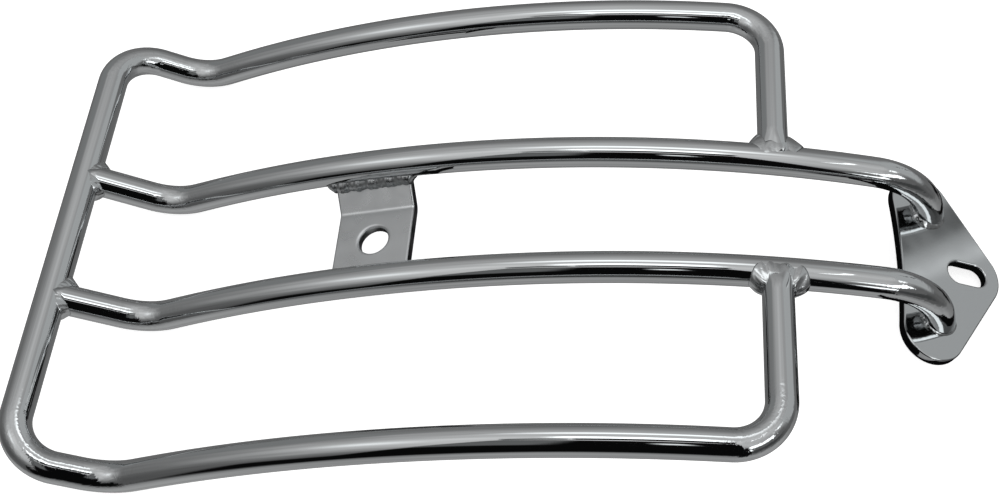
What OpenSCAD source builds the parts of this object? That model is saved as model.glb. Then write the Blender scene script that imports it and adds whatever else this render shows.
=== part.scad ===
// Chromed luggage rack that bolts over the rear mudguard of a motorcycle.
// A bent rod hoop, two bent inner rails, a drilled cross strap and a slotted front plate, all welded.
// X runs forward, Y to the left and Z up. The rack stands on the low bends of its four rods and on
// the tip of its plate, and the origin is the centre of its footprint.

/* [Rod] */
// Diameter of the round bar that the hoop and the rails are bent from
rod_d = 12.7; // [10:0.1:14]
// Centre line radius of the low bend just in front of the rear bar
dip_bend_r = 25.4; // [22:0.2:30]
// Centre line radius of the four corners of the hoop
corner_r = 19; // [16:0.5:22]
// Centre line radius of the bends that take the inner rails down to the plate
drop_bend_r = 34; // [30:0.5:40]

/* [Side profile] */
// How steeply the rods fall forward from the rear bar, in degrees
dip_angle = 25.8; // [22:0.2:30]
// Length from the centre of the rear bar to the start of the low bend
dip_l = 28.4; // [26:0.2:34]
// How steeply the inner rails climb out of the low bend, in degrees
rail_rise_angle = 23.7; // [21:0.1:25]
// How steeply the sides of the hoop climb out of the low bend, in degrees
side_rise_angle = 24; // [22:0.1:26]
// Straight length between the low bend and the crown
rise_l = 7; // [4:0.5:12]
// Radius of the long crown that all four rods follow
crown_r = 490; // [460:5:520]

/* [Hoop] */
// Overall width of the hoop, outside to outside
hoop_w = 218.4; // [200:1:240]
// Length from the centre of the rear bar to the centre of the front cross pieces
hoop_l = 297; // [280:1:310]

/* [Inner rails] */
// Spacing of the inner rails at the rear bar, centre to centre
rail_gap_rear = 60.4; // [58:0.2:70]
// Spacing of the inner rails at the plate, centre to centre
rail_gap_front = 53.4; // [50:0.2:57]
// Length from the centre of the rear bar to the feet of the rails on the plate
foot_x = 367.4; // [358:0.2:382]
// How far the feet lean forward of the vertical, in degrees
foot_lean = 8.7; // [5:0.1:12]

/* [Front plate] */
// Thickness of the plate
plate_t = 4.8; // [3:0.1:6]
// Width of the plate
plate_w = 91; // [87:0.5:97]
// Length of the plate behind the centres of the feet
plate_back = 17; // [15:0.5:19]
// Length of the plate in front of the centres of the feet
plate_front = 31.5; // [29:0.5:36]
// How steeply the plate falls forward, in degrees
plate_slope = 20; // [16:0.5:24]
// Radius of the two side corners, which run straight into the rear edge
plate_side_r = 14; // [10:0.5:15]
// How far the rear edge is hollowed in the middle
plate_hollow = 1.6; // [0.6:0.1:3]
// Radius of the tip
plate_tip_r = 15.5; // [12:0.5:17]
// Width of the bolt slot
slot_w = 10.4; // [8.5:0.1:12]
// Overall length of the bolt slot
slot_l = 18; // [16:0.5:20]
// Length from the centres of the feet to the centre of the slot
slot_x = 16; // [14:0.1:18]

/* [Cross strap] */
// Width of the strap, measured along the rails
strap_w = 34; // [30:0.2:40]
// Thickness of the strap
strap_t = 4.8; // [3:0.1:5.5]
// Length from the centre of the rear bar to the middle of the strap
strap_x = 127.4; // [110:0.2:150]
// Width of the flat middle of the strap, from bend to bend
strap_flat_w = 29; // [26:0.5:32]
// Depth of the flat's upper face below the centre line of the rails
strap_drop = 13; // [11.5:0.1:14]
// Diameter of the bolt hole
strap_hole_d = 13; // [8:0.1:16]

/* [Welds] */
// Leg of the fillets where the rails meet the rear bar
rear_weld = 2.6; // [1.5:0.1:3.5]
// Leg of the fillets where the hoop's ends meet the rails
hoop_weld = 5; // [3:0.1:6]
// How far the strap's welds run out along the rails past each edge of the strap
strap_weld_run = 6; // [4:0.5:8]
// Depth of the strap's welds below the rails
strap_weld_depth = 4; // [2.5:0.1:5]
// Leg of the fillets behind the feet on the plate
foot_weld = 3; // [2:0.1:4]

/* [Hidden] */
$fn = 64;
chrome = "silver";
weld_chrome = "darkgray";
left = 1;
right = -1;

rod_r = rod_d / 2;
// Spare length given to a rod or a tool where another solid cuts it off
spare = 12;
// Bends stand this much proud of the straights, and each straight runs this far into its bends
bend_swell = 0.05;
lap = 0.4;
// Gap left round a rod where another piece is shaped to it
fit_gap = 0.02;

// Side profile, as points [x, z] with the centre of the rear bar at [0, 0] and headings above the horizontal
function along(p, heading, length) = p + length * [cos(heading), sin(heading)];
// Point beside p, to the left of the heading
function beside(p, heading, offset) = p + offset * [-sin(heading), cos(heading)];

dip_end = along([0, 0], -dip_angle, dip_l);
dip_centre = beside(dip_end, -dip_angle, dip_bend_r);
function rise_start(rise) = beside(dip_centre, rise, -dip_bend_r);
function crown_start(rise) = along(rise_start(rise), rise, rise_l);
function crown_centre(rise) = beside(crown_start(rise), rise, -crown_r);
function crown_point(rise, heading) = beside(crown_centre(rise), heading, crown_r);
// Heading of the crown where it passes a given x
function crown_heading(rise, x) = asin((crown_centre(rise)[0] - x) / crown_r);

// The low bends touch the ground, which sets the height of the rear bar
ground = dip_centre[1] - dip_bend_r - rod_r - bend_swell;

// Where the crown of the hoop turns into its front corners
front_heading = asin((crown_centre(side_rise_angle)[0] - hoop_l) / norm([crown_r, corner_r]))
    + atan(corner_r / crown_r);
front_corner = crown_point(side_rise_angle, front_heading);
front_bar = along(front_corner, front_heading, corner_r);
half_w = (hoop_w - rod_d) / 2;

// The tip of the plate touches the ground too, which sets the height of the feet
foot = [foot_x, ground + plate_front * sin(plate_slope) + plate_t * cos(plate_slope)];
foot_heading = foot_lean - 90;
// Centre of the drop bend, on a circle inside the crown and beside the straight foot
foot_side = beside(foot, foot_heading, -drop_bend_r);
to_crown = foot_side - crown_centre(rail_rise_angle);
up_foot = -[cos(foot_heading), sin(foot_heading)];
climb = -to_crown * up_foot + sqrt(
    pow(to_crown * up_foot, 2) - to_crown * to_crown + pow(crown_r - drop_bend_r, 2));
drop_centre = foot_side + climb * up_foot;
from_crown = drop_centre - crown_centre(rail_rise_angle);
drop_heading = atan2(-from_crown[0], from_crown[1]);

// The inner rails draw together towards the plate
toe = atan((rail_gap_rear - rail_gap_front) / 2 / foot_x);
function rail_y(x) = rail_gap_rear / 2 - x * tan(toe);

strap_heading = crown_heading(rail_rise_angle, strap_x);
strap_point = crown_point(rail_rise_angle, strap_heading);
strap_gap = 2 * rail_y(strap_x);

// Footprint along X, from the back of the rear bar to the tip of the plate
tip_x = foot_x + plate_front * cos(plate_slope);
middle_x = (tip_x - rod_r) / 2;

// Straight and bent lengths of rod in the plane of the side profile, with grow added to the radius
module straight_rod(p, heading, length, grow = 0) {
    start = along(p, heading, -lap);
    translate([start[0], 0, start[1]]) rotate([0, 90 - heading, 0])
        cylinder(r = rod_r + grow, h = length + 2 * lap);
}

module bent_rod(centre, radius, from_angle, to_angle, grow = 0) {
    translate([centre[0], 0, centre[1]]) rotate([90, 0, 0]) rotate([0, 0, from_angle])
        rotate_extrude(angle = to_angle - from_angle, $fn = radius > 2 * drop_bend_r ? 720 : 96)
            translate([radius, 0]) circle(r = rod_r + bend_swell + grow, $fn = 48);
}

// Low bend and rise, shared by the hoop and the rails
module low_bend(rise, grow = 0) {
    bent_rod(dip_centre, dip_bend_r, -90 - dip_angle, rise - 90, grow);
    straight_rod(rise_start(rise), rise, rise_l, grow);
}

// The crown runs on a little way into the next bend, which is that much thicker again
module crown(rise, last_heading, grow = 0) {
    lap_angle = lap / crown_r * 180 / PI;
    bent_rod(crown_centre(rise), crown_r, 90 + last_heading - lap_angle, 90 + rise, grow);
}

// Puts a child that is drawn about the rear bar into the frame of the whole rack
module on_ground() {
    translate([-middle_x, 0, -ground]) children();
}

// Turns a child that is drawn along X into the plane of one inner rail
module in_rail_plane(side) {
    translate([0, side * rail_gap_rear / 2, 0]) rotate([0, 0, -side * toe]) children();
}

module rear_bar(grow = 0) {
    straight_l = 2 * (half_w - corner_r + lap);
    translate([0, straight_l / 2, 0]) rotate([90, 0, 0]) cylinder(r = rod_r + grow, h = straight_l);
}

// A quarter turn of the hoop in the plane XY, from the bar at x = 0 towards +X
module corner(side, grow = 0) {
    translate([corner_r, side * (half_w - corner_r), 0]) rotate([0, 0, side > 0 ? 90 : 180])
        rotate_extrude(angle = 90, $fn = 96) translate([corner_r, 0])
            circle(r = rod_r + bend_swell + grow, $fn = 48);
}

// One side of the hoop, from its rear corner to the middle of the inner rail at its front end
module hoop_side(side, grow = 0) {
    rotate([0, dip_angle, 0]) corner(side, grow);
    translate([0, side * half_w, 0]) {
        straight_rod(along([0, 0], -dip_angle, corner_r), -dip_angle, dip_l - corner_r, grow);
        low_bend(side_rise_angle, grow);
        crown(side_rise_angle, front_heading, grow);
    }
    end_y = rail_y(front_bar[0]);
    translate([front_bar[0], 0, front_bar[1]]) rotate([0, -front_heading, 0]) {
        mirror([1, 0, 0]) corner(side, grow + bend_swell);
        translate([0, side * end_y, 0]) rotate([-side * 90, 0, 0])
            cylinder(r = rod_r + grow, h = half_w - corner_r - end_y + lap);
    }
}

module hoop() {
    color(chrome) on_ground() {
        rear_bar();
        for (side = [left, right]) difference() {
            hoop_side(side);
            rail_rod(side, fit_gap);
        }
    }
}

// One inner rail, with its end shaped round the rear bar and its foot cut off flat on the plate
module rail_rod(side, grow = 0) {
    in_rail_plane(side) {
        straight_rod([0, 0], -dip_angle, dip_l, grow);
        low_bend(rail_rise_angle, grow);
        crown(rail_rise_angle, drop_heading, grow);
        bent_rod(drop_centre, drop_bend_r, 90 + foot_heading, 90 + drop_heading, grow + bend_swell);
        straight_rod(beside(drop_centre, foot_heading, drop_bend_r), foot_heading, climb + spare, grow);
    }
}

module rail(side) {
    color(chrome) on_ground() difference() {
        rail_rod(side);
        rear_bar(fit_gap);
        below_plate_top();
    }
}

// Frame of the front plate, with its origin on the top face between the feet and X towards the tip
module at_plate() {
    translate([foot[0], 0, foot[1]]) rotate([0, plate_slope, 0]) children();
}

module below_plate_top() {
    block = 4 * spare;
    at_plate() translate([-block, -plate_w, -block]) cube([2 * block, 2 * plate_w, block]);
}

// Outline round a ring of circles [x, y, radius] listed anticlockwise, as arcs and tangent lines
module round_outline(ring) {
    polygon([for (i = [0 : len(ring) - 1])
        let (a = ring[i], b = ring[(i + 1) % len(ring)],
             step = [b[0] - a[0], b[1] - a[1]],
             facing = atan2(step[1], step[0]) - acos((a[2] - b[2]) / norm(step)))
        for (c = [a, b]) [c[0] + c[2] * cos(facing), c[1] + c[2] * sin(facing)]]);
    for (c = ring) translate([c[0], c[1]]) circle(r = c[2]);
}

module slot_outline() {
    reach = (slot_l - slot_w) / 2;
    translate([slot_x - reach, -slot_w / 2]) square([2 * reach, slot_w]);
    for (end = [-reach, reach]) translate([slot_x + end, 0]) circle(d = slot_w);
}

module front_plate() {
    side_x = plate_side_r - plate_back;
    side_y = plate_w / 2 - plate_side_r;
    // The hollow ends just inside the side corners
    hollow_y = side_y - 1;
    hollow_r = (hollow_y * hollow_y / plate_hollow + plate_hollow) / 2;
    color(chrome) on_ground() at_plate() translate([0, 0, -plate_t]) linear_extrude(plate_t) difference() {
        round_outline([
            [plate_front - plate_tip_r, 0, plate_tip_r],
            [side_x, side_y, plate_side_r],
            [side_x, -side_y, plate_side_r]
        ]);
        translate([plate_hollow - plate_back - hollow_r, 0]) circle(r = hollow_r, $fn = 720);
        slot_outline();
    }
}

// Frame of the cross strap, on the centre plane of the rack at the height of the rails, X along them
module at_strap() {
    translate([strap_point[0], 0, strap_point[1]]) rotate([0, -strap_heading, 0]) children();
}

// Section of the strap across the rack, its legs running up into the rails
module strap_section() {
    flat_y = strap_flat_w / 2;
    // The legs aim at the lower inner quarter of each rail
    rail_side = strap_gap / 2 - rod_r * cos(45);
    rail_low = -rod_r * sin(45);
    leg_angle = atan2(rail_low + strap_drop, rail_side - flat_y);
    leg_l = norm([rail_side - flat_y, rail_low + strap_drop]) + rod_r / 2;
    leg = leg_l * [cos(leg_angle), sin(leg_angle)];
    under = strap_t * tan(leg_angle / 2);
    across = strap_t * [sin(leg_angle), -cos(leg_angle)];
    half = [[flat_y, -strap_drop], [flat_y, -strap_drop] + leg, [flat_y, -strap_drop] + leg + across,
            [flat_y + under, -strap_drop - strap_t]];
    polygon(concat(half, [for (i = [3 : -1 : 0]) [-half[i][0], half[i][1]]]));
}

module strap_blank() {
    at_strap() translate([-strap_w / 2, 0, 0]) rotate([90, 0, 90]) linear_extrude(strap_w) strap_section();
}

module cross_strap() {
    color(chrome) on_ground() difference() {
        strap_blank();
        for (side = [left, right]) rail_rod(side, fit_gap);
        at_strap() translate([0, 0, -strap_drop - 2 * strap_t]) cylinder(d = strap_hole_d, h = 3 * strap_t);
    }
}

// Fillets in the two corners of a tee, with the branch along +Y from the run at y = 0
module tee_fillets(leg) {
    reach = rod_r + leg;
    intersection() {
        rotate([-90, 0, 0]) cylinder(r1 = rod_r + reach, r2 = rod_r * 0.9, h = reach + 0.1 * rod_r);
        translate([-2 * reach, 0, -rod_r * 0.6]) cube([4 * reach, 2 * reach, rod_r * 1.2]);
    }
}

// Rear tee of one inner rail, filled in the two corners beside the rail
module rear_weld(side) {
    color(weld_chrome) on_ground() difference() {
        in_rail_plane(side) rotate([0, dip_angle, 0]) rotate([0, 0, -90]) tee_fillets(rear_weld);
        rear_bar(fit_gap);
        rail_rod(side, fit_gap);
    }
}

module hoop_weld(side) {
    x = front_bar[0];
    heading = crown_heading(rail_rise_angle, x);
    z = crown_point(rail_rise_angle, heading)[1];
    color(weld_chrome) on_ground() difference() {
        translate([x, side * rail_y(x), z]) rotate([0, -heading, 0]) rotate([0, 0, side > 0 ? 0 : 180])
            tee_fillets(hoop_weld);
        rail_rod(side, fit_gap);
        hoop_side(side, fit_gap);
    }
}

// Weld along the upper end of one leg of the strap, with its two ends run out along the rail
module strap_weld(side) {
    top_l = strap_w + 2 * strap_weld_run;
    low = rod_r + strap_weld_depth;
    color(weld_chrome) on_ground() difference() {
        at_strap() translate([0, side * (strap_gap / 2 - rod_r * 0.35), 0]) rotate([90, 0, 0])
            translate([0, 0, -rod_r * 0.45]) linear_extrude(rod_r * 0.9)
                polygon([[-top_l / 2, -rod_r * 0.7], [top_l / 2, -rod_r * 0.7], [strap_w / 2, -low], [-strap_w / 2, -low]]);
        rail_rod(side, fit_gap);
        strap_blank();
    }
}

// Fillet behind and beside one foot, flush with the foot at its front
module plate_weld(side) {
    lean = 90 + foot_heading;
    color(weld_chrome) on_ground() difference() {
        translate([foot[0], side * rail_y(foot_x), foot[1]]) rotate([0, lean, 0])
            translate([-foot_weld * 0.7, 0, -spare / 2])
                cylinder(r1 = rod_r + foot_weld + spare / 2, r2 = rod_r, h = spare / 2 + foot_weld);
        rail_rod(side, fit_gap);
        below_plate_top();
    }
}

hoop();
rail(left);  // rail_left
rail(right);  // rail_right
cross_strap();
front_plate();
rear_weld(left);  // rear_weld_left
rear_weld(right);  // rear_weld_right
hoop_weld(left);  // hoop_weld_left
hoop_weld(right);  // hoop_weld_right
strap_weld(left);  // strap_weld_left
strap_weld(right);  // strap_weld_right
plate_weld(left);  // plate_weld_left
plate_weld(right);  // plate_weld_right
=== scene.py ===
"""Chromed luggage rack for a motorcycle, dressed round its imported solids.

Every rod is one swept tube, the strap and the plate have the rounded edges of polished flat bar, and each
weld is a rippled bead. Lengths are in millimetres until a mesh is made, with X forward and Z up.
"""

import logging
import math
from dataclasses import dataclass, field
from enum import Enum

import bmesh
import bpy
import numpy as np
from mathutils import Matrix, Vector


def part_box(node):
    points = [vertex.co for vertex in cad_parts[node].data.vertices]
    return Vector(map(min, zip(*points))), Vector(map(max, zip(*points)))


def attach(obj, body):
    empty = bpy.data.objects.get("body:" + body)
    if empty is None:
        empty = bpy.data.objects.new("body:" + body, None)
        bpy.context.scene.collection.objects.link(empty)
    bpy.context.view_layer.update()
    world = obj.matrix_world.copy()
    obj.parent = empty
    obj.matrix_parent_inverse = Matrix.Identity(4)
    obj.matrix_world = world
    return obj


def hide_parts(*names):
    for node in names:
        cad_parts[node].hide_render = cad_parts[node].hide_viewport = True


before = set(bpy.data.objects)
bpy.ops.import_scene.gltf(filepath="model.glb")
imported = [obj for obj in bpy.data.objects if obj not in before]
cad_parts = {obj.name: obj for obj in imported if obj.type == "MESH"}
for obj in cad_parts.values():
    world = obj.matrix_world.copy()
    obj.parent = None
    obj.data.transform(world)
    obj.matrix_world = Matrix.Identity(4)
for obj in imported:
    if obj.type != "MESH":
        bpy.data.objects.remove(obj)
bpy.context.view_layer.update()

log = logging.getLogger("luggage_rack")
MM = 0.001


def unit(v: np.ndarray) -> np.ndarray:
    """Each row of v divided by its own length."""
    return v / np.linalg.norm(v, axis=-1, keepdims=True)


def smooth_step(t: np.ndarray) -> np.ndarray:
    """3t^2 - 2t^3, held at 0 before t = 0 and at 1 after t = 1."""
    t = np.clip(t, 0.0, 1.0)
    return t * t * (3.0 - 2.0 * t)


def circle_steps(count: int) -> np.ndarray:
    """Equal angles round a full circle."""
    return np.arange(count) * (2.0 * math.pi / count)


def pitched(heading: float) -> np.ndarray:
    """The ways forward, left and up, as rows, of what points up from the level by the heading in degrees."""
    h = math.radians(heading)
    return np.array([[math.cos(h), 0.0, math.sin(h)], [0.0, 1.0, 0.0], [-math.sin(h), 0.0, math.cos(h)]])


def linear(hex_colour: str) -> tuple[float, float, float, float]:
    """Linear RGBA of an sRGB hex colour such as "#C4C5C6".

    Args:
        hex_colour: the colour as it would be picked off a screen.

    Returns:
        Red, green, blue and an alpha of 1, each from 0 to 1.
    """
    srgb = np.array([int(hex_colour[i:i + 2], 16) / 255.0 for i in (1, 3, 5)])
    low, high = srgb / 12.92, ((srgb + 0.055) / 1.055) ** 2.4
    return (*np.where(srgb <= 0.04045, low, high).tolist(), 1.0)


class Side(Enum):
    """Which half of the rack a piece is on, as the sign of its Y."""

    LEFT = 1
    RIGHT = -1

    @property
    def word(self) -> str:
        """The side as it stands in the nodes' names."""
        return self.name.lower()


@dataclass
class Skin:
    """A surface under construction: points in millimetres and faces that index them."""

    points: list[np.ndarray] = field(default_factory=list)
    faces: list[list[int]] = field(default_factory=list)
    count: int = 0

    def grid(self, net: np.ndarray, wrap_u: bool = False, wrap_v: bool = False) -> None:
        """Adds a net of points and the quads between them.

        Args:
            net: points with the shape (rows, columns, 3).
            wrap_u: whether the last row joins the first.
            wrap_v: whether the last column joins the first.
        """
        rows, cols = net.shape[:2]
        index = self.count + np.arange(rows * cols).reshape(rows, cols)
        if wrap_u:
            index = np.vstack([index, index[:1]])
        if wrap_v:
            index = np.hstack([index, index[:, :1]])
        quads = np.stack([index[:-1, :-1], index[1:, :-1], index[1:, 1:], index[:-1, 1:]], axis=-1)
        self.points.append(net.reshape(-1, 3))
        self.faces += quads.reshape(-1, 4).tolist()
        self.count += rows * cols

    def fan(self, ring: np.ndarray, tip: np.ndarray) -> None:
        """Closes a ring of point indices with triangles that meet at one tip.

        Args:
            ring: indices of the ring, in order.
            tip: the point where the triangles meet.
        """
        self.points.append(tip.reshape(1, 3))
        turned = np.roll(ring, -1)
        self.faces += np.stack([ring, turned, np.full_like(ring, self.count)], axis=-1).tolist()
        self.count += 1

    def mesh(self, name: str, merge: float = 0.0) -> bpy.types.Mesh:
        """Makes the Blender mesh, in metres, smooth and facing outwards.

        Args:
            name: the name of the mesh.
            merge: points nearer than this, in millimetres, become one.

        Returns:
            The finished mesh.
        """
        data = bpy.data.meshes.new(name)
        data.from_pydata((np.vstack(self.points) * MM).tolist(), [], self.faces)
        shell = bmesh.new()
        shell.from_mesh(data)
        if merge:
            bmesh.ops.remove_doubles(shell, verts=shell.verts, dist=merge * MM)
        bmesh.ops.recalc_face_normals(shell, faces=shell.faces)
        shell.to_mesh(data)
        shell.free()
        data.shade_smooth()
        return data


def put_in_scene(name: str, data: bpy.types.ID) -> bpy.types.Object:
    """A new object in the scene that shows the mesh or the camera it is given.

    Args:
        name: the name of the object.
        data: its mesh or its camera.

    Returns:
        The new object.
    """
    thing = bpy.data.objects.new(name, data)
    bpy.context.scene.collection.objects.link(thing)
    return thing


def mark_points(mesh: bpy.types.Mesh, name: str, values: np.ndarray) -> None:
    """Gives each point of a mesh a value, which its material reads by name."""
    mesh.attributes.new(name, "FLOAT", "POINT").data.foreach_set("value", values.ravel().astype(np.float32))


def add_piece(skin: Skin, name: str, material: bpy.types.Material, node: str, merge: float = 0.0,
              tight: np.ndarray | None = None) -> None:
    """Makes a piece that stands for a CAD node, and lets it ride on the rack.

    Args:
        skin: the surface of the piece.
        name: the name of the object.
        material: the finish of the piece.
        node: the CAD node that it stands for.
        merge: how near two points have to be to become one, in millimetres.
        tight: how tightly the metal is bent at each point, from 0 to 1, for the finish to read.
    """
    piece = put_in_scene(name, skin.mesh(name, merge))
    piece.data.materials.append(material)
    if tight is not None:
        mark_points(piece.data, "tight", tight)
    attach(piece, "root")
    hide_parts(node)
    low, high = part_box(node)
    points = np.array([v.co for v in piece.data.vertices])
    gap = max(np.abs(points.min(0) - np.array(low)).max(), np.abs(points.max(0) - np.array(high)).max())
    log.info("%s: %d faces, box within %.2f mm of %s", name, len(piece.data.polygons), gap / MM, node)


@dataclass(frozen=True)
class SideProfile:
    """The rack seen from the side, as [x, z] with the centre of the rear bar at the origin.

    A rod falls forward from the rear bar, turns in the low bend, rises, and then follows the long crown.
    """

    rod_r: float = 6.35
    dip_bend_r: float = 25.4
    corner_r: float = 19.0
    drop_bend_r: float = 34.0
    dip_angle: float = 25.8
    dip_l: float = 28.4
    rail_rise: float = 23.7
    side_rise: float = 24.0
    rise_l: float = 7.0
    crown_r: float = 490.0
    hoop_w: float = 218.4
    hoop_l: float = 297.0
    rail_gap_rear: float = 60.4
    rail_gap_front: float = 53.4
    foot_x: float = 367.4
    foot_lean: float = 8.7
    plate_t: float = 4.8
    plate_front: float = 31.5
    plate_slope: float = 20.0
    bend_swell: float = 0.05

    @staticmethod
    def along(p: np.ndarray, heading: float, length: float) -> np.ndarray:
        """The point at a length from p in the direction of the heading, in degrees."""
        return p + length * np.array([math.cos(math.radians(heading)), math.sin(math.radians(heading))])

    @classmethod
    def beside(cls, p: np.ndarray, heading: float, offset: float) -> np.ndarray:
        """The point at an offset to the left of the heading."""
        return cls.along(p, heading + 90.0, offset)

    @property
    def dip_end(self) -> np.ndarray:
        """Where the rods enter the low bend."""
        return self.along(np.zeros(2), -self.dip_angle, self.dip_l)

    @property
    def dip_centre(self) -> np.ndarray:
        """Centre of the low bend."""
        return self.beside(self.dip_end, -self.dip_angle, self.dip_bend_r)

    @property
    def ground(self) -> float:
        """Height of the floor, which the low bends touch."""
        return self.dip_centre[1] - self.dip_bend_r - self.rod_r - self.bend_swell

    def crown_centre(self, rise: float) -> np.ndarray:
        """Centre of the crown of the rods that climb at the angle rise."""
        start = self.along(self.beside(self.dip_centre, rise, -self.dip_bend_r), rise, self.rise_l)
        return self.beside(start, rise, -self.crown_r)

    def crown_point(self, rise: float, heading: float) -> np.ndarray:
        """The point of the crown where it has the given heading."""
        return self.beside(self.crown_centre(rise), heading, self.crown_r)

    def crown_heading(self, rise: float, x: float) -> float:
        """Heading of the crown where it passes x, in degrees."""
        return math.degrees(math.asin((self.crown_centre(rise)[0] - x) / self.crown_r))

    @property
    def front_heading(self) -> float:
        """Heading of the hoop where it enters its front corners."""
        reach = (self.crown_centre(self.side_rise)[0] - self.hoop_l) / math.hypot(self.crown_r, self.corner_r)
        return math.degrees(math.asin(reach) + math.atan(self.corner_r / self.crown_r))

    @property
    def front_bar(self) -> np.ndarray:
        """Centre of the hoop's two front cross pieces."""
        corner = self.crown_point(self.side_rise, self.front_heading)
        return self.along(corner, self.front_heading, self.corner_r)

    @property
    def half_w(self) -> float:
        """Distance of the hoop's sides from the centre plane."""
        return self.hoop_w / 2.0 - self.rod_r

    @property
    def foot(self) -> np.ndarray:
        """Centre of the rails' feet, on the upper face of the plate.

        Returns:
            The point [x, z].
        """
        slope = math.radians(self.plate_slope)
        rise = self.plate_front * math.sin(slope) + self.plate_t * math.cos(slope)
        return np.array([self.foot_x, self.ground + rise])

    @property
    def foot_heading(self) -> float:
        """Heading of the rails as they meet the plate."""
        return self.foot_lean - 90.0

    @property
    def drop_centre(self) -> np.ndarray:
        """Centre of the bend that takes a rail down to the plate, inside the crown and beside the foot.

        Returns:
            The point [x, z].
        """
        side = self.beside(self.foot, self.foot_heading, -self.drop_bend_r)
        to_crown = side - self.crown_centre(self.rail_rise)
        up = self.along(np.zeros(2), self.foot_heading, -1.0)
        lift = -to_crown @ up + math.sqrt((to_crown @ up) ** 2 - to_crown @ to_crown
                                          + (self.crown_r - self.drop_bend_r) ** 2)
        return side + lift * up

    @property
    def drop_heading(self) -> float:
        """Heading where the crown turns into the drop bend."""
        arm = self.drop_centre - self.crown_centre(self.rail_rise)
        return math.degrees(math.atan2(-arm[0], arm[1]))

    @property
    def toe(self) -> float:
        """How far each rail turns in towards the centre plane, in degrees."""
        return math.degrees(math.atan((self.rail_gap_rear - self.rail_gap_front) / 2.0 / self.foot_x))

    def rail_y(self, x: float) -> float:
        """Distance of a rail from the centre plane at x."""
        return self.rail_gap_rear / 2.0 - x * math.tan(math.radians(self.toe))

    @property
    def shift(self) -> np.ndarray:
        """What moves a point from the rear bar's frame to the rack's own."""
        tip = self.foot_x + self.plate_front * math.cos(math.radians(self.plate_slope))
        return np.array([-(tip - self.rod_r) / 2.0, 0.0, -self.ground])

    def place(self, p: np.ndarray, y: float) -> np.ndarray:
        """A point [x, z] of the profile in the rack's frame, at the given y."""
        return np.array([p[0], y, p[1]]) + self.shift


@dataclass
class Route:
    """Centre line of a rod: points, unit tangents, and unit normals that stay in the side plane."""

    point: np.ndarray
    tangent: np.ndarray
    normal: np.ndarray

    @staticmethod
    def line(start: np.ndarray, way: np.ndarray, normal: np.ndarray, at: np.ndarray) -> "Route":
        """A straight from its start along a unit way, with one point at each of the lengths."""
        ways, normals = (np.repeat(v[None], len(at), axis=0) for v in (way, normal))
        return Route(start + at[:, None] * way, ways, normals)

    @staticmethod
    def flat(xz: np.ndarray, heading: np.ndarray, y: float) -> "Route":
        """A route that lies in a plane of constant y.

        Args:
            xz: rows [x, z].
            heading: heading at each row, in degrees.
            y: the plane.

        Returns:
            The route through the rows.
        """
        h = np.radians(heading)
        zero = np.zeros_like(h)
        return Route(np.stack([xz[:, 0], zero + y, xz[:, 1]], -1),
                     np.stack([np.cos(h), zero, np.sin(h)], -1),
                     np.stack([-np.sin(h), zero, np.cos(h)], -1))

    @staticmethod
    def turn(start: np.ndarray, first: np.ndarray, last: np.ndarray, normal: np.ndarray, radius: float,
             steps: int) -> "Route":
        """A quarter turn: start + r sin(t) first + r (1 - cos(t)) last, for t from 0 to 90 degrees.

        Args:
            start: where the turn starts.
            first: unit tangent at its start.
            last: unit tangent at its end.
            normal: unit normal of its plane.
            radius: radius of the centre line.
            steps: number of steps.

        Returns:
            The quarter turn.
        """
        t = np.linspace(0.0, math.pi / 2.0, steps + 1)[:, None]
        return Route(start + radius * (np.sin(t) * first + (1.0 - np.cos(t)) * last),
                     np.cos(t) * first + np.sin(t) * last, np.repeat(normal[None], steps + 1, axis=0))

    def joined(self, *others: "Route") -> "Route":
        """This route followed by the others, without the points where they meet.

        Args:
            others: the routes that follow, each from where the last one ends.

        Returns:
            The whole route.
        """
        parts = (self,) + others
        keep = [np.arange(len(p.point)) >= (i > 0) for i, p in enumerate(parts)]
        return Route(*(np.vstack([getattr(p, a)[k] for p, k in zip(parts, keep)])
                       for a in ("point", "tangent", "normal")))

    def mirrored_back(self) -> "Route":
        """The same line on the other side of the centre plane, run from its end to its start."""
        across = np.array([1.0, -1.0, 1.0])
        return Route((self.point * across)[::-1], (-self.tangent * across)[::-1], (self.normal * across)[::-1])

    def turned(self, degrees: float) -> "Route":
        """The route turned about the vertical through the middle of the rear bar."""
        spin = np.array(Matrix.Rotation(math.radians(degrees), 3, "Z"))
        return Route(self.point @ spin.T, self.tangent @ spin.T, self.normal @ spin.T)

    def moved(self, by: np.ndarray) -> "Route":
        """The route moved by a vector."""
        return Route(self.point + by, self.tangent, self.normal)

    def tight(self, sides: int, tight_r: float = 25.0) -> np.ndarray:
        """How tightly the rod is bent at every point of its tube: tight_r / radius of the bend, up to 1.

        Args:
            sides: points in each circle.
            tight_r: radius in millimetres of a bend that counts as fully tight.

        Returns:
            One value for each point of the rings, and a 0 for each of the two tips.
        """
        turn = np.linalg.norm(np.diff(self.tangent, axis=0), axis=1)
        step = np.linalg.norm(np.diff(self.point, axis=0), axis=1)
        bend = np.clip(tight_r * turn / step, 0.0, 1.0)
        eased = np.convolve(np.pad(bend, 3, mode="edge"), np.full(6, 1.0 / 6.0), mode="valid")
        return np.append(np.repeat(eased, sides), (0.0, 0.0))

    def rings(self, radius: float, sides: int) -> np.ndarray:
        """Circles about the line: point + r (cos(a) normal + sin(a) (tangent x normal)).

        Args:
            radius: radius of the circles.
            sides: points in each circle.

        Returns:
            A net with the shape (points, sides, 3).
        """
        a = circle_steps(sides)[:, None]
        side = np.cross(self.tangent, self.normal)
        return self.point[:, None] + radius * (np.cos(a) * self.normal[:, None] + np.sin(a) * side[:, None])


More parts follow.
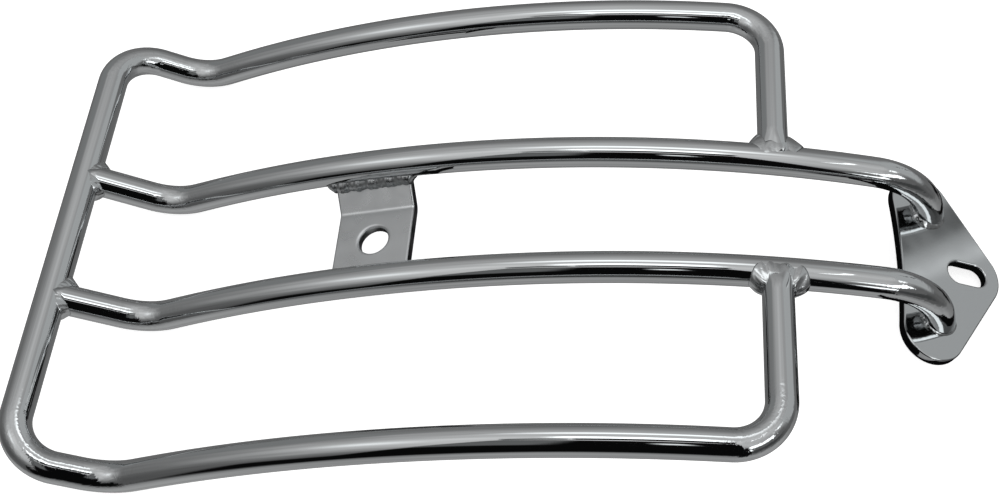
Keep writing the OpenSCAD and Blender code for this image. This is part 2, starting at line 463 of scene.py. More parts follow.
@dataclass(frozen=True)
class RodBender:
    """Makes the stretches of rod that the hoop and the rails share."""

    profile: SideProfile
    sides: int = 64
    bend_step: float = 1.0
    crown_step: float = 3.0
    straight_step: float = 4.0

    def straight(self, start: np.ndarray, heading: float, length: float, y: float) -> Route:
        """A straight length in the side plane.

        Args:
            start: its first point [x, z].
            heading: its heading, in degrees.
            length: how long it is.
            y: the plane.

        Returns:
            The straight.
        """
        forward, _, up = pitched(heading)
        at = np.linspace(0.0, length, max(2, int(length / self.straight_step) + 1))
        return Route.line(np.array([start[0], y, start[1]]), forward, up, at)

    def bend(self, centre: np.ndarray, radius: float, start: float, end: float, y: float,
             step: float) -> Route:
        """A bend in the side plane from one heading to another.

        Args:
            centre: centre of the bend.
            radius: radius of the centre line.
            start: heading at its start, in degrees.
            end: heading at its end, which is larger where the rod turns up.
            y: the plane.
            step: the longest step along it.

        Returns:
            The bend.
        """
        count = max(4, int(radius * math.radians(abs(end - start)) / step))
        heading = np.linspace(start, end, count + 1)
        side = -radius if end > start else radius
        h = np.radians(heading)
        return Route.flat(centre + side * np.stack([-np.sin(h), np.cos(h)], -1), heading, y)

    def dip(self, rise: float, y: float, from_l: float) -> Route:
        """The fall from the rear bar, the low bend and the rise after it.

        Args:
            rise: heading of the rise, in degrees.
            y: the plane.
            from_l: how far from the rear bar's centre the fall starts.

        Returns:
            The three as one route.
        """
        p = self.profile
        fall = self.straight(p.along(np.zeros(2), -p.dip_angle, from_l), -p.dip_angle, p.dip_l - from_l, y)
        low = self.bend(p.dip_centre, p.dip_bend_r, -p.dip_angle, rise, y, self.bend_step)
        climb = self.straight(p.beside(p.dip_centre, rise, -p.dip_bend_r), rise, p.rise_l, y)
        return fall.joined(low, climb)

    def crown(self, rise: float, end: float, y: float) -> Route:
        """The long crown, from the rise to the heading where it ends."""
        p = self.profile
        return self.bend(p.crown_centre(rise), p.crown_r, rise, end, y, self.crown_step)


def cope(net: np.ndarray, end: int, change: np.ndarray, blend: int) -> np.ndarray:
    """Shapes one end of a tube to what it meets, and lets the change die out over a few rings.

    Args:
        net: rings of the tube.
        end: index of the ring at that end, 0 or -1.
        change: how far each point of that ring moves, as vectors.
        blend: number of rings over which the change dies out.

    Returns:
        The net with its end shaped.
    """
    net = net.copy()
    rings = net[::-1] if end else net
    rings[:blend] += (1.0 - np.linspace(0.0, 1.0, blend))[:, None, None] * change
    return net


def tube_skin(net: np.ndarray) -> Skin:
    """A closed tube from its rings, each end drawn to a tip that lies hidden inside what it meets.

    Args:
        net: rings of the tube, with the shape (rings, sides, 3).

    Returns:
        The closed skin.
    """
    skin = Skin()
    skin.grid(net, wrap_v=True)
    rows, cols = net.shape[:2]
    skin.fan(np.arange(cols)[::-1], net[0].mean(0))
    skin.fan((rows - 1) * cols + np.arange(cols), net[-1].mean(0))
    return skin


@dataclass
class Hoop:
    """The outer hoop, one rod from one front cross piece round the rear bar to the other."""

    profile: SideProfile
    bender: RodBender
    sink: float = 0.08

    def half(self) -> Route:
        """Left half of the centre line, from the middle of the rear bar to the left rail.

        Returns:
            The route, with the rear bar's centre at the origin.
        """
        p, b = self.profile, self.bender
        fall, left, up = pitched(-p.dip_angle)
        bar_l = p.half_w - p.corner_r
        spans = int(bar_l / b.straight_step)
        steps = int(p.corner_r * math.pi / 2.0 / b.bend_step)
        bar = Route.line(np.zeros(3), left, up, np.linspace(0.0, bar_l, spans + 1))
        rear = Route.turn(bar.point[-1], left, fall, up, p.corner_r, steps)
        dip = b.dip(p.side_rise, p.half_w, p.corner_r)
        crown = b.crown(p.side_rise, p.front_heading, p.half_w)
        front = Route.turn(crown.point[-1], crown.tangent[-1], -left, crown.normal[-1], p.corner_r, steps)
        inwards = np.linspace(0.0, bar_l - p.rail_y(p.hoop_l), spans)
        arm = Route.line(front.point[-1], -left, front.normal[-1], inwards)
        return bar.joined(rear, dip, crown, front, arm)

    def to_rail(self, ring: np.ndarray, side: Side) -> np.ndarray:
        """How far each point of an end ring moves to lie on the rail's skin.

        That is sqrt(r^2 - h^2) outwards, at the height h above the rail's centre line. What stands higher than
        the rail is hammered down to its crown.

        Args:
            ring: the end ring, whose centre lies on the rail's centre line.
            side: the side of the rack that it is on.

        Returns:
            One vector for each point.
        """
        p = self.profile
        rail = p.crown_point(p.rail_rise, p.crown_heading(p.rail_rise, p.hoop_l))[1] - p.ground
        height, skin_r = ring[:, 2] - rail, p.rod_r - self.sink
        out = np.sqrt(np.maximum(skin_r ** 2 - height ** 2, 0.0))
        return np.stack([0.0 * out, side.value * out, np.minimum(skin_r - height, 0.0)], -1)

    def build(self, material: bpy.types.Material) -> None:
        """Makes the hoop, with each front end shaped to the rail that it meets.

        Args:
            material: the finish of the piece.
        """
        half = self.half()
        route = half.mirrored_back().joined(half).moved(self.profile.shift)
        net = route.rings(self.profile.rod_r, self.bender.sides)
        for end, side in ((0, Side.RIGHT), (-1, Side.LEFT)):
            net = cope(net, end, self.to_rail(net[end], side), 4)
        tight = route.tight(self.bender.sides)
        add_piece(tube_skin(net), "hoop_rod", material, "hoop", tight=tight)


@dataclass
class InnerRail:
    """One inner rail, from the rear bar over the crown and down to the plate."""

    profile: SideProfile
    bender: RodBender
    side: Side
    sink: float = 0.08

    def route(self) -> Route:
        """Centre line from the middle of the rear bar to the middle of the foot.

        Returns:
            The route, in the rack's frame.
        """
        p, b = self.profile, self.bender
        dip, crown = b.dip(p.rail_rise, 0.0, 0.0), b.crown(p.rail_rise, p.drop_heading, 0.0)
        drop = b.bend(p.drop_centre, p.drop_bend_r, p.drop_heading, p.foot_heading, 0.0, b.bend_step)
        foot = Route.flat(p.foot[None], np.array([p.foot_heading]), 0.0)
        start = np.array([0.0, self.side.value * p.rail_gap_rear / 2.0, 0.0])
        return dip.joined(crown, drop, foot).turned(-self.side.value * p.toe).moved(start + p.shift)

    def build(self, material: bpy.types.Material) -> None:
        """Makes the rail, shaped to the rear bar at one end and cut off level on the plate at the other.

        The first ring moves sqrt(r^2 - h^2) along the rail, at the height h above the rear bar's centre line.
        The last one moves along the foot to the plane of the plate's upper face.

        Args:
            material: the finish of the piece.
        """
        p, route = self.profile, self.route()
        net = route.rings(p.rod_r, self.bender.sides)
        fall, up, down = route.tangent[0], route.normal[0], route.tangent[-1]
        face = pitched(-p.plate_slope)[2]
        height = (net[0] - route.point[0]) @ up
        out = np.sqrt(np.maximum((p.rod_r - self.sink) ** 2 - height ** 2, 0.0))
        to_plate = ((route.point[-1] - net[-1]) @ face - self.sink) / (down @ face)
        net = cope(net, 0, out[:, None] * fall, 3)
        net = cope(net, -1, to_plate[:, None] * down, 9)
        name, tight = f"rail_{self.side.word}", route.tight(self.bender.sides)
        add_piece(tube_skin(net), f"{name}_rod", material, name, tight=tight)


def edge_drop(distance: np.ndarray, radius: float) -> np.ndarray:
    """How far a rounded edge has fallen at a distance from it: r - sqrt(r^2 - (r - d)^2), and 0 past r."""
    inside = np.clip(radius - distance, 0.0, radius)
    return radius - np.sqrt(radius ** 2 - inside ** 2)


def edge_steps(radius: float, steps: int = 6) -> np.ndarray:
    """Distances from an edge at equal turns of its rounding, r (1 - cos(t)), with one more just past it."""
    t = np.linspace(0.0, math.pi / 2.0, steps + 1)
    return np.append(radius * (1.0 - np.cos(t)), radius * 1.08)


@dataclass
class FrontPlate:
    """The slotted plate under the rails' feet, with its edges rounded by the polishing."""

    profile: SideProfile
    width: float = 91.0
    back: float = 17.0
    side_r: float = 14.0
    hollow: float = 1.6
    tip_r: float = 15.5
    slot_w: float = 10.4
    slot_l: float = 18.0
    slot_x: float = 16.0
    edge_r: float = 0.8
    slot_edge_r: float = 1.0
    samples: int = 480

    def circles(self) -> np.ndarray:
        """The corner circles as rows [x, y, radius], which the outline wraps like a belt.

        Returns:
            One row for the tip and one for each side corner.
        """
        side_x, side_y = self.side_r - self.back, self.width / 2.0 - self.side_r
        return np.array([[self.profile.plate_front - self.tip_r, 0.0, self.tip_r],
                         [side_x, side_y, self.side_r], [side_x, -side_y, self.side_r]])

    def spread(self, loop: np.ndarray) -> np.ndarray:
        """A closed line again, with its points at equal lengths from its first point.

        Args:
            loop: points of the line, with the shape (n, 2).

        Returns:
            As many points as the plate has samples.
        """
        closed = np.vstack([loop, loop[:1]])
        run = np.append(0.0, np.cumsum(np.linalg.norm(np.diff(closed, axis=0), axis=1)))
        keep = np.append(True, np.diff(run) > 1e-9)
        at = np.arange(self.samples) * run[-1] / self.samples
        return np.stack([np.interp(at, run[keep], closed[keep, k]) for k in (0, 1)], -1)

    def outline(self) -> tuple[np.ndarray, np.ndarray]:
        """The belt round the circles, with the way out of the plate at each point.

        For each way out n the point is the one, of the circles' centre + r n, that lies furthest along n. The
        rear edge then follows a shallow arc, x = sqrt(R^2 - y^2) - R + hollow - back.

        Returns:
            The points and the ways out, each with the shape (samples, 2).
        """
        a = np.linspace(-math.pi, math.pi, 4001)[:-1] + math.pi
        out = np.stack([np.cos(a), np.sin(a)], -1)
        rings = self.circles()
        best = np.argmax(out @ rings[:, :2].T + rings[:, 2], axis=1)
        belt = self.spread(rings[best, :2] + rings[best, 2:] * out)
        reach = rings[1, 1] - 1.0
        hollow_r = (reach ** 2 / self.hollow + self.hollow) / 2.0
        arc = np.sqrt(np.maximum(hollow_r ** 2 - belt[:, 1] ** 2, 0.0)) - hollow_r + self.hollow - self.back
        rear = (belt[:, 0] < 0.0) & (np.abs(belt[:, 1]) < reach)
        belt[:, 0] = np.where(rear, np.maximum(belt[:, 0], arc), belt[:, 0])
        return self.with_normals(belt)

    def slot(self) -> tuple[np.ndarray, np.ndarray]:
        """The slot's outline, two half circles and two straights, with the way out of the slot.

        Returns:
            The points and the ways out, each with the shape (samples, 2).
        """
        reach = (self.slot_l - self.slot_w) / 2.0
        a = np.linspace(0.0, 2.0 * math.pi, 2001)[:-1]
        ends = np.where(np.cos(a) >= 0.0, reach, -reach)
        return self.with_normals(np.stack([self.slot_x + ends + self.slot_w / 2.0 * np.cos(a),
                                           self.slot_w / 2.0 * np.sin(a)], -1))

    def with_normals(self, loop: np.ndarray) -> tuple[np.ndarray, np.ndarray]:
        """The line with equal steps, and its unit outward normals, for a line that runs anticlockwise.

        Args:
            loop: points of the line, with the shape (n, 2).

        Returns:
            The points and the ways out, each with the shape (samples, 2).
        """
        loop = self.spread(loop)
        step = np.roll(loop, -1, axis=0) - np.roll(loop, 1, axis=0)
        return loop, unit(np.stack([step[:, 1], -step[:, 0]], -1))

    def rim(self, loop: np.ndarray, inward: np.ndarray, radius: float) -> np.ndarray:
        """The rounded wall of an edge, from the upper face to the lower.

        At a distance d in from the edge the upper face lies at -drop(d) and the lower one at -t + drop(d).

        Args:
            loop: the edge, with the shape (n, 2).
            inward: unit way from the edge into the metal.
            radius: radius of the rounding.

        Returns:
            A net with the shape (rows, n, 3).
        """
        d = edge_steps(radius)[::-1]
        fall = edge_drop(d, radius)
        depth = np.append(-fall, -self.profile.plate_t + fall[::-1])
        flat = loop[None] + np.append(d, d[::-1])[:, None, None] * inward[None]
        return np.concatenate([flat, np.broadcast_to(depth[:, None, None], flat.shape[:2] + (1,))], axis=-1)

    def build(self, material: bpy.types.Material) -> None:
        """Makes the plate: an outer rim, a slot rim, and a flat face above and below between them.

        Args:
            material: the finish of the piece.
        """
        outer, out = self.outline()
        inner, hole = self.slot()
        rims = (self.rim(outer, -out, self.edge_r), self.rim(inner, hole, self.slot_edge_r))
        t = smooth_step(np.linspace(0.0, 1.0, 9))[:, None, None]
        p = self.profile
        skin = Skin()
        for net in (*rims, (1 - t) * rims[0][0] + t * rims[1][0], (1 - t) * rims[0][-1] + t * rims[1][-1]):
            skin.grid(p.place(p.foot, 0.0) + net @ pitched(-p.plate_slope), wrap_v=True)
        add_piece(skin, "front_plate_polished", material, "front_plate", merge=0.002)


@dataclass
class CrossStrap:
    """The drilled strap that hangs between the rails, bent up at both ends."""

    profile: SideProfile
    width: float = 34.0
    thick: float = 4.8
    x: float = 127.4
    flat_w: float = 29.0
    drop: float = 13.0
    hole_d: float = 13.0
    bend_r: float = 2.2
    edge_r: float = 0.9
    hole_edge_r: float = 1.4
    sector_inset: float = 3.0

    @property
    def heading(self) -> float:
        """Heading of the rails where the strap hangs."""
        return self.profile.crown_heading(self.profile.rail_rise, self.x)

    @property
    def leg(self) -> tuple[float, float]:
        """Angle of the legs in degrees, and their length from the bend to inside the rail.

        Returns:
            The angle and the length.
        """
        r = self.profile.rod_r
        across = self.profile.rail_y(self.x) - r * math.sqrt(0.5) - self.flat_w / 2.0
        up = self.drop - r * math.sqrt(0.5)
        return math.degrees(math.atan2(up, across)), math.hypot(across, up) + r / 2.0

    def bent(self, u: np.ndarray, v: np.ndarray, depth: np.ndarray) -> np.ndarray:
        """Points of the flat blank, bent into the strap's own frame.

        The upper face runs flat, turns about a centre above it at the bend radius, and runs on straight.
        A point at a depth below that face lies that far along the face's normal.

        Args:
            u: length along the upper face from the centre plane.
            v: place along the rails.
            depth: depth below the upper face.

        Returns:
            Points [x, y, z] with z up from the rails' centre line.
        """
        angle = math.radians(self.leg[0])
        start = self.flat_w / 2.0 - self.bend_r * math.tan(angle / 2.0)
        run = np.abs(u)
        turn = np.clip((run - start) / self.bend_r, 0.0, angle)
        past = np.maximum(run - start - self.bend_r * angle, 0.0)
        y = np.minimum(run, start) + self.bend_r * np.sin(turn) + past * np.cos(turn)
        z = self.bend_r * (1.0 - np.cos(turn)) + past * np.sin(turn) - self.drop
        return np.stack([v, np.sign(u) * (y + depth * np.sin(turn)), z - depth * np.cos(turn)], -1)

    def face(self, u: np.ndarray, v: np.ndarray, under: bool) -> np.ndarray:
        """The upper or lower face, with its edges and the hole's rim rounded.

        Args:
            u: length along the upper face from the centre plane.
            v: place along the rails.
            under: whether it is the lower face.

        Returns:
            Points in the strap's own frame.
        """
        edge, hole = self.width / 2.0 - np.abs(v), np.hypot(u, v) - self.hole_d / 2.0
        fall = np.maximum(edge_drop(edge, self.edge_r), edge_drop(hole, self.hole_edge_r))
        return self.bent(u, v, self.thick - fall if under else fall)

    def sector(self, end_u: np.ndarray, end_v: np.ndarray) -> tuple[np.ndarray, np.ndarray]:
        """Rays of points from the hole's rim to one side of the flat part.

        Rows stand close together over the hole's rounding and at the far side, and evenly between them. The
        rays at a corner have the same points in both sectors that meet there, so the seams close.

        Args:
            end_u: where the rays end, along the strap.
            end_v: where the rays end, across the strap.

        Returns:
            Places along and across the strap, each with the shape (rows, rays).
        """
        ray, far = np.arctan2(end_v, end_u), np.hypot(end_u, end_v)
        # Only the sides have a rounded edge to follow, and towards the legs the rows match it at the corners
        slant = far if np.ptp(end_u) else far.max()
        last = far - edge_steps(self.edge_r)[::-1, None] * slant / (self.width / 2.0)
        first = self.hole_d / 2.0 + edge_steps(self.hole_edge_r)[:, None] + 0.0 * far
        between = np.linspace(0.0, 1.0, 12)[1:-1, None]
        radius = np.vstack([first, first[-1] + between * (last[0] - first[-1]), last])
        return radius * np.cos(ray), radius * np.sin(ray)

    def build(self, material: bpy.types.Material) -> None:
        """Makes the strap from four sectors round the hole, two legs, their walls and their hidden ends.

        Args:
            material: the finish of the piece.
        """
        half, bend = self.width / 2.0, self.flat_w / 2.0
        reach = bend - self.sector_inset
        near = edge_steps(self.edge_r)
        v = np.concatenate([-half + near, np.linspace(-half + 2.0, half - 2.0, 25), half - near[::-1]])
        u = np.append(np.linspace(reach, bend + 2.0, 21), np.linspace(bend + 3.0, bend + self.leg[1], 8))
        across = np.linspace(-reach, reach, 25)
        skin = Skin()
        for under in (False, True):
            for sign in (1.0, -1.0):
                skin.grid(self.face(*self.sector(np.full_like(v, sign * reach), v), under))
                skin.grid(self.face(*self.sector(across, np.full_like(across, sign * half)), under))
                skin.grid(self.face(*np.meshgrid(sign * u, v, indexing="ij"), under))
        self.walls(skin, u, v, across)
        skin.points = [self.hung(p) for p in skin.points]
        add_piece(skin, "cross_strap_polished", material, "cross_strap", merge=0.01)

    def walls(self, skin: Skin, u: np.ndarray, v: np.ndarray, across: np.ndarray) -> None:
        """Adds the flat sides between the two faces: both edges, the two ends and the hole.

        Args:
            skin: the surface that they are added to.
            u: places of the legs' columns, along the strap.
            v: places of the rows across the strap.
            across: places of the columns between the legs.
        """
        half, reach = self.width / 2.0, across[-1]
        run = np.concatenate([-u[::-1], across[1:-1], u])
        for sign in (1.0, -1.0):
            for line in ((run, np.full_like(run, sign * half)), (np.full_like(v, sign * u[-1]), v)):
                skin.grid(np.stack([self.face(*line, False), self.face(*line, True)]))
        ray = np.concatenate([np.arctan2(v, np.full_like(v, reach)),
                              np.arctan2(np.full_like(across, half), across[::-1])[1:-1],
                              np.arctan2(v[::-1], np.full_like(v, -reach)),
                              np.arctan2(np.full_like(across, -half), across)[1:-1]])
        hole = self.hole_d / 2.0 * np.cos(ray), self.hole_d / 2.0 * np.sin(ray)
        skin.grid(np.stack([self.face(*hole, False), self.face(*hole, True)]), wrap_v=True)

    def hung(self, points: np.ndarray) -> np.ndarray:
        """Points of the strap's own frame, hung under the rails."""
        p = self.profile
        return p.place(p.crown_point(p.rail_rise, self.heading), 0.0) + points @ pitched(self.heading)


@dataclass(frozen=True)
class Ripples:
    """The lumps of a hand-laid bead, as a sum of waves along and across it."""

    height: float
    pitch: float
    lumps: float
    seed: int
    curl: float = 1.4
    fade_power: float = 0.7

    def over(self, run: np.ndarray, across: np.ndarray) -> np.ndarray:
        """Height of the bead's ripples.

        Each ripple is a crescent, |cos| of the length along the bead, held back in the middle of its width,
        and five slow waves with seeded phases make no two alike.

        Args:
            run: length along the bead, in millimetres.
            across: place across it, from 0 at one toe to 1 at the other.

        Returns:
            Height above the plain bead, in millimetres, at every run and place across.
        """
        rng = np.random.default_rng(self.seed)
        crescent = np.abs(np.cos(math.pi * (run / self.pitch + self.curl * (across - 0.5) ** 2)))
        waves = 0.0
        for _ in range(5):
            length, tilt = rng.uniform(2.6, 8.0), rng.uniform(-2.5, 2.5)
            phase = rng.uniform(0.0, 2.0 * math.pi)
            waves = waves + np.sin(2.0 * math.pi * run / length + tilt * across * 2.0 + phase) / 5.0
        return self.height * crescent + self.lumps * waves

    def wobble(self, a: np.ndarray, salt: int, waves: tuple[tuple[float, int], ...]) -> np.ndarray:
        """Uneven width of a hand-laid ring, 1 + the sum of size sin(count a + a seeded phase)."""
        rng = np.random.default_rng(self.seed + salt)
        return 1.0 + sum(size * np.sin(count * a + rng.uniform(0.0, 6.0)) for size, count in waves)

    def bead(self, toes: tuple[np.ndarray, np.ndarray], knee: np.ndarray, leg: np.ndarray, way: np.ndarray,
             rows: int, swell: float = 0.0, kept: np.ndarray | float = 1.0) -> np.ndarray:
        """A bead that runs round in a ring, as a net from one toe to the other.

        Each section is the curve (1 - t)^2 low + 2 t (1 - t) knee + t^2 high. The ripples and the swell stand
        on it, times (4 t (1 - t))^power, which ends them at the toes, and times half the leg up to 1, which
        ends them where the bead is thin. The pitch is fitted to the length of the ring.

        Args:
            toes: the rings where the bead runs out, low and high.
            knee: the ring that draws each section outwards.
            leg: size of each section.
            way: unit way out of the bead at each section.
            rows: points across the bead.
            swell: height that is added to the ripples.
            kept: share of the height that each section keeps.

        Returns:
            The net, with the shape (rows, sections, 3).
        """
        low, high = toes
        middle = (low + high) / 2.0
        run = np.append(0.0, np.cumsum(np.linalg.norm(np.diff(middle, axis=0), axis=1)))
        closing = np.linalg.norm(middle[0] - middle[-1]) + run[-1]
        run = run * (round(closing / self.pitch) * self.pitch / closing)
        t = np.linspace(0.0, 1.0, rows)[:, None]
        fade = (4.0 * t * (1.0 - t)) ** self.fade_power * np.minimum(leg / 2.0, 1.0) * kept
        height = fade * (self.over(run[None], t) + swell)
        t = t[..., None]
        return (1 - t) ** 2 * low + 2 * t * (1 - t) * knee + t ** 2 * high + height[..., None] * way


def ring_skin(bead: np.ndarray, hidden: np.ndarray) -> Skin:
    """A bead's net, closed by one ring that lies hidden inside the metal.

    Args:
        bead: the bead's net, with the shape (rows, sections, 3).
        hidden: one point for each section, inside the metal.

    Returns:
        The closed skin.
    """
    skin = Skin()
    skin.grid(np.concatenate([bead, hidden[None]]), wrap_u=True, wrap_v=True)
    return skin


@dataclass
class TeeWeld:
    """The collar of weld where one rod, the branch, ends against the side of another, the run.

    Legs are lengths along the branch and reaches are lengths over the run, each behind the branch, in front
    of it, and above and below it.
    """

    node: str
    run_point: np.ndarray
    run_axis: np.ndarray
    branch_axis: np.ndarray
    branch_lift: float
    rod_r: float
    legs: tuple[float, float, float]
    reaches: tuple[float, float, float]
    swell: float
    ripples: Ripples
    fullness: float = 0.95
    calmest: float = 0.25
    side_power: float = 1.3
    settle_l: float = 8.9
    sink: float = 0.12
    hidden_share: float = 0.7
    hidden_depth: float = 0.8
    around: int = 160
    rows: int = 13

    @property
    def axes(self) -> np.ndarray:
        """The way along the run, the way up from it, and the way out along the branch, as rows."""
        up = np.cross(self.run_axis, self.branch_axis)
        return np.stack([self.run_axis, up * (1.0 if up[2] > 0 else -1.0), self.branch_axis])

    def at(self, c: np.ndarray, e: np.ndarray, a: np.ndarray) -> np.ndarray:
        """Points from their places along the run, up from it, and out along the branch."""
        return self.run_point + np.stack([c, e, a], -1) @ self.axes

    def build(self, material: bpy.types.Material) -> None:
        """Makes the collar as a closed ring.

        At the angle a round the branch, the seam lies on both rods. One toe is a reach away from it over the
        skin of the run, the other a leg away along the branch. What stands higher than the run is settled
        down to its crown, and the bead is calmer above and below the branch than beside it.

        Args:
            material: the finish of the piece.
        """
        a = circle_steps(self.around)
        c, e, r = np.cos(a), np.sin(a), self.rod_r
        share = np.abs(c) ** self.side_power
        wobble = self.ripples.wobble(a, 7, ((0.10, 3), (0.07, 7)))
        leg, reach = ((np.where(c >= 0.0, front, back) * share + over * (1.0 - share)) * wobble
                      for back, front, over in (self.legs, self.reaches))
        settled = np.maximum(r * e + self.branch_lift - r, 0.0)
        lift = r * e + self.branch_lift - settled
        turn = np.arcsin(np.clip(lift / r, -1.0, 1.0))
        out = unit(np.stack([r * c, r * (turn - math.asin(self.branch_lift / r))], -1))
        toe_turn = turn + reach * out[:, 1] / r
        deep, seam_a = r - self.sink, r * np.cos(turn)
        run_toe = self.at(r * c + reach * out[:, 0], deep * np.sin(toe_turn), deep * np.cos(toe_turn))
        still = settled * np.maximum(1.0 - (seam_a + leg) / self.settle_l, 0.0)
        branch_toe = self.at(deep * c, deep * e + self.branch_lift - still, seam_a + leg)
        seam = self.at(r * c, lift, seam_a)
        knee = seam + self.fullness * ((run_toe + branch_toe) / 2.0 - seam)
        way = unit(np.stack([c, e + np.sin(turn), np.cos(turn)], -1)) @ self.axes
        calm = self.calmest + (1.0 - self.calmest) * share
        bead = self.ripples.bead((run_toe, branch_toe), knee, leg, way, self.rows, self.swell, calm)
        inside = self.hidden_share * r
        hidden = self.at(inside * c, inside * e + self.branch_lift, seam_a - self.hidden_depth)
        add_piece(ring_skin(bead, hidden), f"{self.node}_bead", material, self.node)


@dataclass
class FootWeld:
    """The bead behind and inside one foot on the plate, which dies out in front of it."""

    profile: SideProfile
    side: Side
    leg: float = 2.4
    least: float = 0.4
    fullness: float = 1.15
    aim: float = 0.55
    aim_power: float = 1.2
    ripples: Ripples = Ripples(0.07, 1.9, 0.06, 31)
    sink: float = 0.1
    hidden_share: float = 0.75
    hidden_depth: float = 0.6
    around: int = 160
    rows: int = 11

    def build(self, material: bpy.types.Material) -> None:
        """Makes the bead as a closed ring round the ellipse that the foot cuts from the plate.

        The leg is least + (leg - least) ((1 + cos(a - a0)) / 2)^power, where a0 points back and, by the aim in
        radians, inwards.

        Args:
            material: the finish of the piece.
        """
        p = self.profile
        fall, left, face = pitched(-p.plate_slope)
        ahead, _, rod = pitched(p.foot_lean)
        a = circle_steps(self.around)
        ring = p.rod_r * (np.cos(a)[:, None] * ahead + np.sin(a)[:, None] * left)
        seam = ring - ((ring @ face) / (rod @ face))[:, None] * rod
        share = ((1.0 + np.cos(a - math.pi - self.side.value * self.aim)) / 2.0) ** self.aim_power
        wobble = self.ripples.wobble(a, self.side.value, ((0.12, 3), (0.08, 8)))
        leg = (self.least + (self.leg - self.least) * share) * wobble
        out = unit(np.stack([seam @ fall, seam @ left], -1)) @ np.stack([fall, left])
        low = seam + leg[:, None] * out - self.sink * face
        high = seam + leg[:, None] * rod - self.sink * unit(ring)
        middle, hidden = (low + high) / 2.0, self.hidden_share * seam - self.hidden_depth * face
        knee = seam + self.fullness * (middle - seam)
        bead = self.ripples.bead((low, high), knee, leg, unit(middle - hidden), self.rows)
        foot = p.place(p.foot, self.side.value * p.rail_y(p.foot_x))
        node = f"plate_weld_{self.side.word}"
        add_piece(ring_skin(bead + foot, hidden + foot), f"{node}_bead", material, node)


@dataclass
class StrapWeld:
    """The rough bead along the upper end of one leg of the strap, run out along the rail at both ends."""

    strap: CrossStrap
    side: Side
    radius: float = 4.2
    run_out: float = 6.0
    climb: float = 3.0
    seat: tuple[float, float] = (0.92, 0.96)
    off_seat: tuple[float, float] = (0.4, -0.5)
    flatness: float = 0.86
    thinning: float = 0.85
    calming: float = 0.7
    ripples: Ripples = Ripples(0.12, 4.3, 0.7, 53)
    along: int = 120
    around: int = 40

    def build(self, material: bpy.types.Material) -> None:
        """Makes the bead as a lumpy rod in a closed skin.

        Its radius is r (1 - thinning q^1.5), where q goes from 0 at the strap's edge to 1 at the end of the
        run out, and its centre climbs up the rail by the climb times q. The seam lies where a rod's skin faces
        45 degrees in and down, and the seat is the share of that which the centre keeps in Y and in Z.

        Args:
            material: the finish of the piece.
        """
        strap, p = self.strap, self.strap.profile
        half = strap.width / 2.0
        s = np.linspace(-half - self.run_out, half + self.run_out, self.along)[:, None]
        past = np.clip((np.abs(s) - half) / self.run_out, 0.0, 1.0)
        slant = math.sqrt(0.5)
        seam_y, seam_z = (off - share * p.rod_r * slant for share, off in zip(self.seat, self.off_seat))
        climb = self.climb * slant * past
        centre_y, centre_z = p.rail_y(strap.x) + seam_y + climb, seam_z + climb
        a = circle_steps(self.around)[None]
        lump = self.ripples.over(s, 0.5 - 0.5 * np.cos(a))
        r = self.radius * (1.0 - self.thinning * past ** 1.5) + lump * (1.0 - self.calming * past)
        tilt = a + math.radians(strap.leg[0])
        net = np.stack([s + 0.0 * a, self.side.value * (centre_y + r * np.cos(tilt)),
                        centre_z + self.flatness * r * np.sin(tilt)], -1)
        skin = tube_skin(net)
        skin.points = [strap.hung(q) for q in skin.points]
        node = f"strap_weld_{self.side.word}"
        add_piece(skin, f"{node}_bead", material, node)


def add_node(tree: bpy.types.NodeTree, kind: str, inputs: dict | None = None,
             **settings: object) -> bpy.types.Node:
    """Adds one shader node.

    Args:
        tree: the node tree.
        kind: the node's type.
        inputs: values or output sockets for its inputs, by name or number.
        settings: properties of the node.

    Returns:
        The new node.
    """
    node = tree.nodes.new(kind)
    for key, value in settings.items():
        setattr(node, key, value)
    for key, value in (inputs or {}).items():
        if isinstance(value, bpy.types.NodeSocket):
            tree.links.new(value, node.inputs[key])
        else:
            node.inputs[key].default_value = value
    return node


def blank_tree(owner: bpy.types.Material | bpy.types.World) -> bpy.types.NodeTree:
    """The emptied node tree of a material or a world.

    Args:
        owner: the material or the world.

    Returns:
        Its node tree, without a node.
    """
    owner.use_nodes = True
    owner.node_tree.nodes.clear()
    return owner.node_tree


